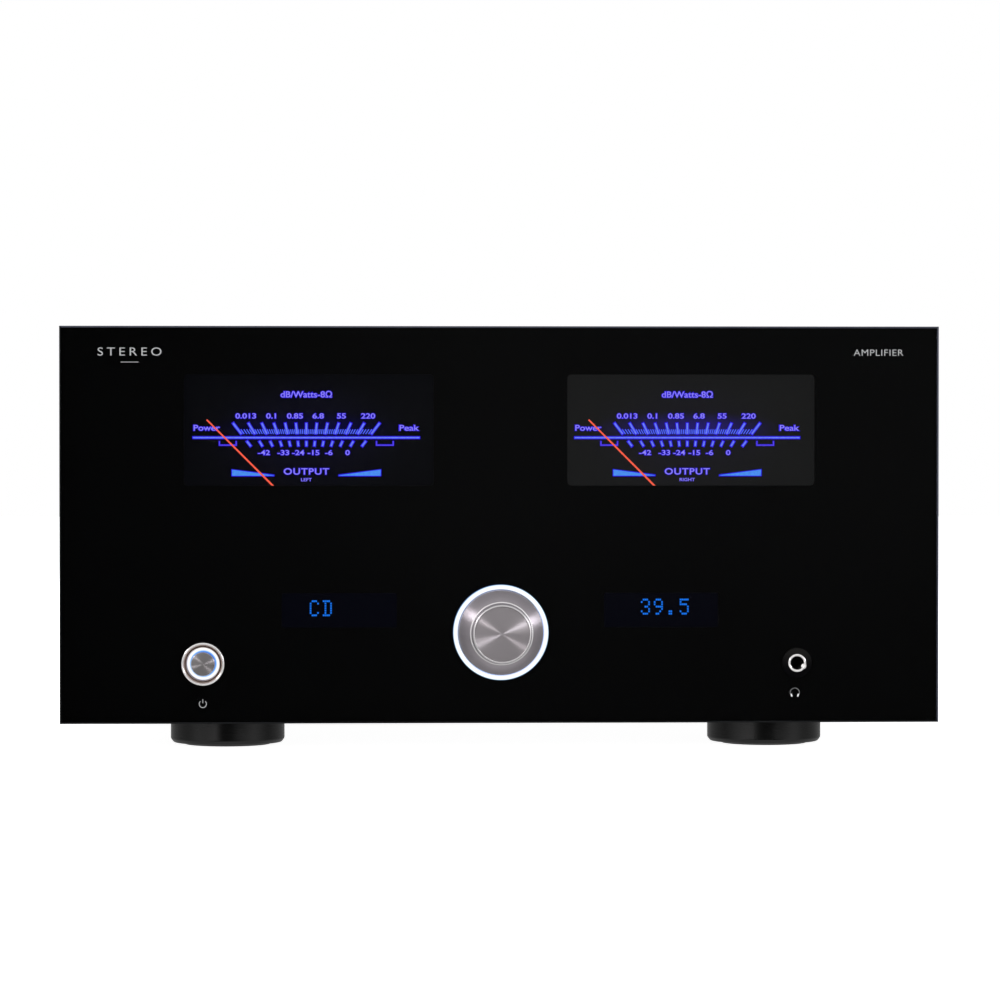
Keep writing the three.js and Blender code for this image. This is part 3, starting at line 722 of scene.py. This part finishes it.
boss = eased([(0, 1.5), (recess, 1.5), (recess, 0.25), (BOSS_TOP - 0.25, 0.25),
              (BOSS_TOP, 0.5), (BOSS_BASE, BOSS_HEIGHT - 0.25), (BOSS_BASE, BOSS_HEIGHT)], 0.12)
rim = eased([(KNOB_RADIUS, FLANK_END + 0.6), (KNOB_RADIUS, KNOB_DEPTH), (3.3, KNOB_DEPTH),
             (3.3, 11.0), (0, 11.0)], 0.3)
flatten_faces(new_piece("turned_volume_knob",
                        lathe("turned_volume_knob", boss + flank() + rim), knob_place,
                        spun_flank, "volume_knob", body="volume_control"))
turned("spun_disc", [(0, 0.03), (disc_radius, 0.45), (disc_radius, disc_depth),
                     (0, disc_depth)], front_of("volume_knob_disc"), spun,
       "volume_knob_disc", body="volume_control", ease=0.02)
# Diamond-cut edges: one round the face of the boss and one bead where it meets the flank.
turned("boss_edge", [(recess - 0.2, 0.3), (recess - 0.1, 0.05), (recess + 0.15, 0.0),
                     (BOSS_TOP + 0.02, 0.5), (BOSS_TOP + 0.02, 0.8), (recess, 0.8)],
       knob_place, polished, body="volume_control", closed=True, ease=0.12)
turned("boss_bead", [(BOSS_BASE - 0.2, BOSS_HEIGHT - 0.65), (BOSS_BASE, BOSS_HEIGHT - 0.65),
                     (BOSS_BASE + 0.45, BOSS_HEIGHT - 0.45),
                     (BOSS_BASE + 0.55, BOSS_HEIGHT - 0.3),
                     (BOSS_BASE + 0.55, BOSS_HEIGHT + 0.6), (BOSS_BASE - 0.2, BOSS_HEIGHT)],
       knob_place, polished, body="volume_control", closed=True, ease=0.08)

ring_inner, ring_outer = KNOB_RADIUS + 0.3, extent("volume_light_ring").x / 2
turned("knob_light", tube(ring_inner, ring_outer, 0, extent("volume_light_ring").y),
       front_of("volume_light_ring"),
       light_pipe("knob_light", ring_inner, ring_outer,
                  ((0.0, (0.30, 0.48, 1.0)), (0.08, (0.95, 1.0, 1.0)), (0.20, (1.0, 1.0, 1.0)),
                   (0.86, (0.97, 1.0, 1.0)), (0.93, (0.60, 0.90, 1.0)),
                   (0.97, (0.06, 0.24, 0.60)), (1.0, (0.003, 0.02, 0.12)))),
       "volume_light_ring", closed=True, ease=0.5)
paint_node("volume_shaft", steel)
paint_node("volume_encoder", steel)

# ------ power button

bezel_place = front_of("power_bezel")
turned("chrome_bezel", [(9.5, 0.32), (9.95, 0.0), (10.45, 0.32), (10.45, 1.9), (9.5, 1.9),
                        (9.5, 14.2), (9.2, 14.2), (9.2, 1.2)], bezel_place, chrome,
       "power_bezel", closed=True, ease=0.12)
turned("bezel_throat", [(8.75, 1.2), (9.52, 0.36), (9.52, 1.0), (9.22, 1.4), (9.22, 14.2),
                        (8.75, 14.2)], bezel_place, dark_chrome, closed=True, ease=0.1)

button_place = front_of("power_button")
turned("button_body", [(0, 0.3), (5.2, 0.3), (5.2, 2.0), (8.05, 2.0), (8.05, 0.75),
                       (8.2, 0.65), (8.4, 0.9), (8.4, 8.2), (2, 8.2), (2, 18.2), (0, 18.2)],
       button_place, dark_chrome, "power_button", body="power_key", ease=0.15)
turned("button_cap", [(0, 0.0), (5.6, 0.2), (5.8, 0.35), (5.8, 2.0), (0, 2.0)], button_place,
       spun_small, body="power_key", ease=0.1)
turned("button_light", tube(5.85, 8.0, 0.2, 1.3), front_of("power_light_ring"),
       light_pipe("button_light", 5.6, 8.1,
                  ((0.0, (0.03, 0.12, 0.62)), (0.14, (0.11, 0.32, 0.88)),
                   (0.30, (0.30, 0.56, 0.95)), (0.42, (1.0, 1.0, 1.0)),
                   (0.86, (1.0, 1.0, 1.0)), (0.95, (0.45, 0.47, 0.62)),
                   (1.0, (0.12, 0.11, 0.13))), (-0.25, 0, -0.3)),
       "power_light_ring", body="power_key", closed=True, ease=0.3)
paint_node("power_switch", black_plastic)

icon = Print()
icon.arc((0, -0.1), 1.75, 0.36, 130, 410)
icon.bar(-0.16, 0.16, 0.3, 2.2)
icon.lay("power_mark", Vector((bezel_place.x - 0.1 * MM, FRONT_PRINT_Y, 23.8 * MM)),
         print_silver)

# ------ headphone socket

sleeve_place, sleeve_depth = front_of("headphone_sleeve"), extent("headphone_sleeve").y
turned("chrome_sleeve", [(3.3, 0.3), (3.85, 0.0), (4.4, 0.32), (4.4, sleeve_depth),
                         (3.3, sleeve_depth)], sleeve_place, chrome,
       "headphone_sleeve", closed=True, ease=0.12)
# The nut's black is lighter towards its top: a painted sheen.
turned("socket_nut", [(4.5, 0.0), (7.15, 0.0), (7.35, 0.15), (7.35, 0.36), (7.2, 0.36),
                      (7.2, 5.3), (4.9, 5.3), (4.9, 0.5), (4.5, 0.4)],
       front_of("headphone_nut"), black_with_painted_sheen_and_shade, "headphone_nut", closed=True, ease=0.2)
paint_node("headphone_jack", black_plastic)
turned("socket_contact", [(0, 0.0), (1.35, 0.9), (1.35, 2.4), (0, 2.4)],
       sleeve_place + Vector((3.3, 0.02, -1.65)) * MM, chrome, ease=0.1, segments=48)

icon = Print()
icon.arc((0, -0.45), 2.3, 0.3, 0, 180, 24)
for side in (-1, 1):
    icon.stroke((side * 2.3, -0.45), (side * 2.15, -1.0), 0.3)
mark_place = Vector((sleeve_place.x - 1.1 * MM, FRONT_PRINT_Y, 29.0 * MM))
icon.lay("headphone_band", mark_place, print_gray)
icon = Print()
for side in (-1, 1):
    icon.stroke((side * 1.8, -0.95), (side * 1.4, -2.35), 0.7)
icon.lay("headphone_cups", mark_place, print_white)

# ------ displays

GLYPHS = {
    "C": ("01110", "10001", "10000", "10000", "10000", "10001", "01110"),
    "D": ("11110", "01001", "01001", "01001", "01001", "01001", "11110"),
    "3": ("01110", "10001", "00001", "00110", "00001", "10001", "01110"),
    "9": ("01110", "10001", "10001", "01111", "00001", "00010", "01100"),
    "5": ("11111", "10000", "11110", "00001", "00001", "10001", "01110"),
    ".": ("00000", "00000", "00000", "00000", "00000", "01100", "01100"),
}
DOT_PITCH = (0.90, 1.15)
DOT_HALF = (0.40, 0.44)
CELL_PITCH = 6.36


def dot_text(name, words, node, first, level):
    """Dot-matrix characters. first and level place the first cell's centre on the screen."""
    art = Print()
    for i, letter in enumerate(words):
        for row, bits in enumerate(GLYPHS[letter]):
            for column, bit in enumerate(bits):
                if bit == "1":
                    x = first + i * CELL_PITCH + (column - 2) * DOT_PITCH[0]
                    z = level + (3 - row) * DOT_PITCH[1]
                    art.bar(x - DOT_HALF[0], x + DOT_HALF[0], z - DOT_HALF[1], z + DOT_HALF[1])
    centre = middle(node)
    art.lay(name, Vector((centre.x, SCREEN_Y - 0.1 * MM, centre.z)), characters)


for node in ("source_display", "volume_display"):
    paint_node(node, screen)
dot_text("source_characters", "CD", "source_display", -12.2, 1.15)
dot_text("volume_characters", "39.5", "volume_display", -7.8, 1.7)

# ------ power meters

# Places on the dials are in mm from the needles' pivots, and ticks are TICK_STEP degrees apart.
LINE_Z = 39.97
TICK_STEP = 6.22
WATTS = (("0.013", -29.7), ("0.1", -17.3), ("0.85", -5.6), ("6.8", 5.8), ("55", 17.2),
         ("220", 30.3))
DECIBELS = (("-42", -20.8), ("-33", -11.3), ("-24", -4.0), ("-15", 3.5), ("-6", 11.0),
            ("0", 20.2))


def radial(art, angle, low, high, width, grow=0.0):
    """A tick on the line from the pivot at an angle, between two heights above the pivot."""
    slope = math.tan(math.radians(angle))
    art.stroke(((low - grow) * slope, low - grow), ((high + grow) * slope, high + grow),
               width + 2 * grow)


def draw_scale(art, grow=0.0):
    """The long line and the main ticks."""
    art.bar(-55.5, 55.5, LINE_Z - 0.36, LINE_Z + 0.36, grow)
    for i in range(-6, 7):
        radial(art, i * TICK_STEP, 41.8, 47.1, 0.85, grow)
        radial(art, i * TICK_STEP, 35.8, 38.2, 0.85, grow)


def draw_wedges(art, grow=0.0):
    for side in (-1, 1):
        thick, thin = side * 36.4, side * 16.0
        art.polygon([(thick + side * grow, 21.3 - grow), (thick + side * grow, 24.2 + grow),
                     (thin - side * grow, 21.5 + grow), (thin - side * grow, 21.3 - grow)])


def draw_minor(art, grow=0.0):
    for i in range(-30, 31):
        if i % 5:
            radial(art, i * TICK_STEP / 5, 41.8, 44.0, 0.42, grow * 0.25)


def draw_brackets(art, grow=0.0):
    for side in (-1, 1):
        inner, outer = side * 34.4, side * 42.6
        art.bar(min(inner, outer), max(inner, outer), 36.1, 36.5, grow * 0.6)
        for x in (inner, outer):
            art.bar(x - 0.2, x + 0.2, 36.1, 38.2, grow * 0.6)


def draw_words(art, channel, bold):
    art.text("dB/Watts-8Ω", 0, 61.3, 3.1, bold, 1.1)
    for words, x in WATTS:
        art.text(words, x, 50.7, 2.6, bold, 1.32)
    for words, x in DECIBELS:
        art.text(words, x, 32.7, 2.5, bold, 1.34)
    art.text("Power", -48.8, 44.9, 2.9, bold, 1.24)
    art.text("Peak", 50.5, 44.9, 2.9, bold, 1.28)
    art.text("OUTPUT", 0, 23.5, 3.2, bold * 0.8, 1.2, 1.12)
    art.text(channel, 0, 19.4, 1.6, bold * 0.6, 1.2)


# The right plate glows in a gray base and a stronger blue bleed, the left one hardly at all:
# painted light, with the right dial lit and the left one shaded. The blue haze and bleed also
# stand for the backlight.
lit_and_shaded_dial_glows = {
    "left": dial_plate("dial_plate_left", (0.0006, 0.0007, 0.0016), (0.002, 0.0016, 0.009),
                       (0.0008, 0.0003, 0.044)),
    "right": dial_plate("dial_plate_right", (0.0088, 0.0088, 0.0086), (0.0098, 0.0088, 0.0135),
                        (0.018, 0.0105, 0.15)),
}
for side in ("left", "right"):
    dial = f"meter_dial_{side}"
    pivot = Vector((middle(dial).x, DIAL_Y, PIVOT_Z))
    low, high = ((corner - pivot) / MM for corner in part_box(dial))
    boxes(f"dial_plate_{side}", [((low.x, 0, low.z), (high.x, 1, high.z))], pivot,
          lit_and_shaded_dial_glows[side], dial, ease=0.1)
    edges = Print()
    for draw in (draw_scale, draw_wedges, draw_minor, draw_brackets):
        draw(edges, 0.42)
    draw_words(edges, side.upper(), 0.07)
    edges.lay(f"scale_edges_{side}", pivot - Vector((0, 0.02 * MM, 0)), ink_halo)
    layers = (("scale", draw_scale, ink_blue), ("wedges", draw_wedges, ink_wedge),
              ("minor_ticks", draw_minor, ink_minor), ("brackets", draw_brackets, ink_dim))
    above = pivot - Vector((0, 0.06 * MM, 0))
    for part, draw, inked in layers:
        art = Print()
        draw(art)
        art.lay(f"{part}_{side}", above, inked)
    art = Print()
    draw_words(art, side.upper(), 0.004)
    art.lay(f"words_{side}", above, ink)
    paint_node(f"meter_needle_{side}", needle_red)
    paint_node(f"meter_housing_{side}", black_plastic)
    paint_node(f"meter_movement_{side}", black_plastic)

# ------ inside

for node in ("front_board", "power_supply_board", "input_board"):
    paint_node(node, board)
for side in ("left", "right"):
    paint_node(f"amplifier_board_{side}", board)
    paint_node(f"heatsink_{side}", anodised)
    soften(nodes[f"heatsink_{side}"], 0.4)
paint_node("transformer_clamp", steel)
coil = extent("transformer") / 2
turned("wound_core", tube(26, coil.x, -coil.z, coil.z), middle("transformer"), tape,
       "transformer", axis="Z", closed=True, ease=9, segments=96)
for i in range(1, 5):
    can = f"reservoir_capacitor_{i}"
    radius, height = extent(can).x / 2, extent(can).z
    lip = radius - 1.6
    turned(f"can_{i}", [(0, 0), (radius, 0), (radius, 3.4), (radius - 0.8, 4.4),
                        (radius, 5.4), (radius, height), (lip, height), (lip, height - 0.8),
                        (0, height - 0.8)],
           foot_of(can), can_black, can, axis="Z", ease=0.5, segments=64)

# ------ rear connectors

PHONO_PITCH = 20


def phono(group, columns):
    """A moulded block with gold barrels, coloured insulators and centre contacts."""
    low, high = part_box(group)
    half = extent(group) / 2
    centre = middle(group)
    centre.y = REAR_Y + 1 * MM
    boxes(f"{group}_block",
          [((-half.x, (low.y - centre.y) / MM, -half.z), (half.x, 0, half.z))], centre,
          black_plastic, group, ease=0.8)
    length = (high.y - centre.y) / MM
    for column in range(columns):
        for row, level, shade in (("upper", 9, white_plastic), ("lower", -9, red_plastic)):
            across = (column - (columns - 1) / 2) * PHONO_PITCH
            place = centre + Vector((across, 0, level)) * MM
            barrel = [(3.3, 0.2), (4.2, 0.2), (4.2, length - 0.4), (3.9, length), (3.3, length)]
            for part, profile, look, ease, segments in (
                    ("insulator", [(4.3, 0), (7.4, 0), (7.4, 0.9), (4.3, 1.2)], shade, 0.3, 48),
                    ("barrel", barrel, gold, 0.2, 48),
                    ("filling", tube(1.7, 3.28, 0.2, length - 1.0), shade, 0.2, 32),
                    ("contact", tube(1.2, 1.68, 0.2, length - 1.6), gold, 0.1, 24)):
                turned(f"{group}_{column}_{row}_{part}", profile, place, look, closed=True,
                       ease=ease, segments=segments)
    return centre


inputs_centre = phono("rca_inputs", 6)
outputs_centre = phono("rca_outputs", 3)


def terminals(side):
    """Two gold studs on a moulded plate, each with a coloured collar and a knurled cap."""
    node = f"speaker_terminals_{side}"
    low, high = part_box(node)
    centre = middle(node)
    centre.y = FLANGE_Y
    boxes(f"terminal_plate_{side}",
          [((-38, 0, -15), (38, 3, 15)), ((-34, (low.y - FLANGE_Y) / MM, -11), (34, 0.5, 11))],
          centre, gloss_black, node, ease=0.8)
    tip = (high.y - FLANGE_Y) / MM
    for sign, shade, across in (("negative", gloss_black, -13), ("positive", red_plastic, 13)):
        place = centre + Vector((across * MM, 0, 0))
        turned(f"collar_{side}_{sign}", [(0, 2.5), (8.5, 2.5), (8.5, 6.2), (7.9, 7.6),
                                         (0, 7.6)], place, shade, ease=0.5)
        turned(f"stud_{side}_{sign}", [(0, 7), (3.2, 7), (3.2, tip), (2.05, tip), (2.05, 10),
                                       (0, 10)], place, gold, ease=0.2, segments=48)
        cap(f"{side}_{sign}", shade)
    return centre


def cap(name, shade):
    """Screw cap: a gold core with a fluted plastic grip round it."""
    node, body = f"terminal_cap_{name}", f"cap_{name}"
    place, length = front_of(node), extent(node).y
    turned(f"cap_core_{name}", [(3.5, 0), (7.3, 0), (7.3, 1.4), (6.2, 1.4),
                                (6.2, length - 2.2), (7.0, length - 2.2), (6.4, length),
                                (3.5, length)], place, gold, node, body=body, closed=True,
           ease=0.3, segments=64)
    shape = bmesh.new()
    flutes, steps, bore = 18, 144, 6.25

    def loop(along, radii):
        angles = (2 * math.pi * step / steps for step in range(steps))
        return [shape.verts.new((radius * MM * math.cos(angle), along * MM,
                                 radius * MM * math.sin(angle)))
                for angle, radius in zip(angles, radii)]

    waves = [0.5 + 0.5 * math.cos(flutes * 2 * math.pi * step / steps) for step in range(steps)]
    levels = ((1.45, 0.86), (1.75, 1.0), (length - 2.7, 1.0), (length - 2.3, 0.86))
    loops = [loop(levels[0][0], [bore] * steps)]
    loops += [loop(along, [6.3 + (1.0 + 0.68 * wave) * share for wave in waves])
              for along, share in levels]
    loops.append(loop(levels[-1][0], [bore] * steps))
    for lower, upper in zip(loops, loops[1:]):
        for step in range(steps):
            after = (step + 1) % steps
            shape.faces.new((lower[step], lower[after], upper[after], upper[step]))
    bmesh.ops.recalc_face_normals(shape, faces=shape.faces)
    grip = built(f"cap_grip_{name}", shape)
    grip.shade_smooth()
    new_piece(f"cap_grip_{name}", grip, place, shade, body=body)


terminal_centres = {side: terminals(side) for side in ("left", "right")}

for node in ("mains_inlet", "mains_switch", "fuse_drawer", "mains_rocker"):
    paint_node(node, black_plastic)
    soften(nodes[node], 0.4, 3)
inlet = Vector((middle("mains_inlet").x, FLANGE_Y, 72 * MM))
for name, x, z in (("live", -7, -2), ("earth", 0, 2), ("neutral", 7, -2)):
    boxes(f"inlet_pin_{name}", [((x - 1.05, -17.0, z - 2.05), (x + 1.05, -0.95, z + 2.05))],
          inlet, steel, ease=0.6)
for i, side in enumerate((-1, 1)):
    screw(f"inlet_screw_{i}", Vector((inlet.x + side * 20 * MM, REAR_Y + 2.3 * MM, 64 * MM)),
          (0, 1, 0), 2.6)


def rocker_mark(name, upper):
    """A bar on the upper half of the rocker or a ring on its lower half."""
    halfway = middle("mains_rocker").z
    faces = [face for face in nodes["mains_rocker"].data.polygons
             if face.normal.y > 0.9 and (face.center.z > halfway) == upper]
    face = max(faces, key=lambda candidate: candidate.area)
    art = Print(rear=True)
    if upper:
        art.bar(-0.4, 0.4, -2.0, 2.0)
    else:
        art.arc((0, 0), 1.8, 0.6, 0, 360)
    mark = art.lay(name, face.center + face.normal * 0.04 * MM, print_white, "rocker")
    turn = Vector((0, 1, 0)).rotation_difference(face.normal)
    mark.data.transform(turn.to_matrix().to_4x4())


rocker_mark("rocker_on_mark", True)
rocker_mark("rocker_off_mark", False)


def rear_labels(name, centre, *lines):
    """White print on the rear panel: words with their place about centre and their height."""
    labels = Print(rear=True)
    for line in lines:
        labels.text(*line)
    labels.lay(name, Vector((centre.x, REAR_PRINT_Y, centre.z)), print_white)


numbers = [(f"{column + 1}", (column - 2.5) * PHONO_PITCH, -21.8, 2.6) for column in range(6)]
rear_labels("input_labels", inputs_centre, *numbers, ("INPUTS", 0, 22.4, 3.0))
rear_labels("output_labels", outputs_centre, ("OUTPUTS", 0, 22.4, 3.0))
for side in ("left", "right"):
    rear_labels(f"terminal_labels_{side}", terminal_centres[side],
                (side.upper(), 0, 19.0, 3.0), ("-", 13, -19.5, 4.0, 0.02),
                ("+", -13, -19.5, 4.0, 0.02))

# ------ room and light

floor_mesh = bpy.data.meshes.new("floor")
HALF_FLOOR = 6.0
floor_mesh.from_pydata([(-HALF_FLOOR, -HALF_FLOOR, 0), (HALF_FLOOR, -HALF_FLOOR, 0),
                        (HALF_FLOOR, HALF_FLOOR, 0), (-HALF_FLOOR, HALF_FLOOR, 0)], [],
                       [(0, 1, 2, 3)])
floor = bpy.data.objects.new("floor", floor_mesh)
bpy.context.scene.collection.objects.link(floor)
floor_look = Look("white_floor", (0.82, 0.82, 0.82), 0.8, specular_ior_level=0.0)
floor_look.color(floor_look.noise(400, 2), (0.81, 0.81, 0.81), (0.83, 0.83, 0.83))
floor_look.glow((1.0, 1.0, 1.0), 0.96)
floor_mesh.materials.append(floor_look.material)
floor.visible_glossy = False
floor.visible_transmission = False


def area_light(name, place, target, size, power, color=(1.0, 1.0, 1.0)):
    data = bpy.data.lights.new(name, "AREA")
    data.shape = "RECTANGLE"
    data.size, data.size_y = size
    data.energy = power
    data.color = color
    light = bpy.data.objects.new(name, data)
    light.location = place
    light.rotation_euler = (Vector(target) - Vector(place)).to_track_quat("-Z", "Y").to_euler()
    bpy.context.scene.collection.objects.link(light)
    return light


def strip(name, azimuth, size, reach, power, color):
    """A soft strip at azimuth round the knob's axis, facing it.

    Reach holds its distance from the axis and how far in front of the panel it stands. Its
    long side points along the axis for a strip beside the front, and towards it for one ahead.
    """
    away, ahead = reach
    turn = math.radians(azimuth)
    outward = Vector((math.cos(turn), 0, math.sin(turn)))
    place = knob_place + outward * away - Vector((0, ahead, 0))
    light = area_light(name, place, knob_place, size, power, color)
    back = (place - knob_place).normalized()
    across = Vector((0, 1, 0)).cross(outward).normalized()
    along = across.cross(back).normalized()
    light.rotation_euler = Matrix((along, back.cross(along), back)).transposed().to_euler()


WARM, COOL = (1.0, 0.965, 0.98), (0.98, 0.97, 1.0)
strip("right_side_strip", 18, (1.0, 0.30), (1.4, 0.1), 4.0, COOL)
strip("left_side_strip", 150, (1.0, 0.30), (1.4, 0.1), 4.0, WARM)
strip("right_front_strip", 18, (1.0, 0.16), (1.2, 1.6), 3.0, COOL)
strip("left_front_strip", 150, (1.0, 0.14), (1.2, 1.6), 2.2, WARM)
strip("low_front_strip", 197, (1.0, 0.14), (1.2, 1.6), 1.4, WARM)
area_light("rear_softbox", (-0.9, 1.9, 1.1), (0, 0.2, 0.1), (1.2, 1.2), 16)

world = bpy.data.worlds.new("studio")
bpy.context.scene.world = world
world.use_nodes = True
world.node_tree.nodes.clear()
studio = Graph(world.node_tree)


def mixed(factor, first, second):
    """Goes from first to second as factor goes from 0 to 1. Each is a number or a socket."""
    made = studio.node("ShaderNodeMix", data_type="FLOAT")
    for slot, value in zip((0, 2, 3), (factor, first, second)):
        if isinstance(value, float):
            made.inputs[slot].default_value = value
        else:
            studio.link(value, made.inputs[slot])
    return made.outputs[0]


direction = studio.node("ShaderNodeSeparateXYZ")
studio.link(studio.node("ShaderNodeTexCoord").outputs["Generated"], direction.inputs[0])
toward_x, toward_y, toward_z = direction.outputs
above = studio.spread(toward_z, 0.32, 0.56, -0.2, 0.9)
below = studio.spread(toward_z, 0.56, 0.32, -0.9, -0.2)
sky = mixed(studio.spread(toward_z, 0.0, 1.0, -0.22, -0.18), below, above)
room = mixed(studio.spread(toward_y, 1.0, 0.0, -0.60, -0.05), sky, 0.88)
# Straight ahead of the glass the room is dark, most of all to the left and low down, so the
# glass reads black. Below the panel the dark patch is wider, for the feet.
dark_high = studio.spread(toward_x, 0.011, 0.037, -0.09, 0.05)
dark_low = studio.spread(toward_x, 0.009, 0.022, -0.09, 0.05)
dark_wall = mixed(studio.spread(toward_z, 0.0, 1.0, -0.07, 0.0), dark_low, dark_high)
facing_high = studio.spread(toward_y, 1.0, 0.0, -0.982, -0.93)
facing_low = studio.spread(toward_y, 1.0, 0.0, -0.90, -0.55)
facing = mixed(studio.spread(toward_z, 0.0, 1.0, -0.062, -0.035), facing_low, facing_high)
brightness = mixed(facing, room, dark_wall)
path = studio.node("ShaderNodeLightPath")
background = studio.node("ShaderNodeBackground")
background.inputs["Color"].default_value = (1.0, 1.0, 1.0, 1.0)
studio.link(mixed(path.outputs["Is Camera Ray"], brightness, 1.0), background.inputs["Strength"])
output = studio.node("ShaderNodeOutputWorld")
studio.link(background.outputs["Background"], output.inputs["Surface"])

bpy.context.scene.view_settings.view_transform = "Standard"
bpy.context.scene.view_settings.look = "None"
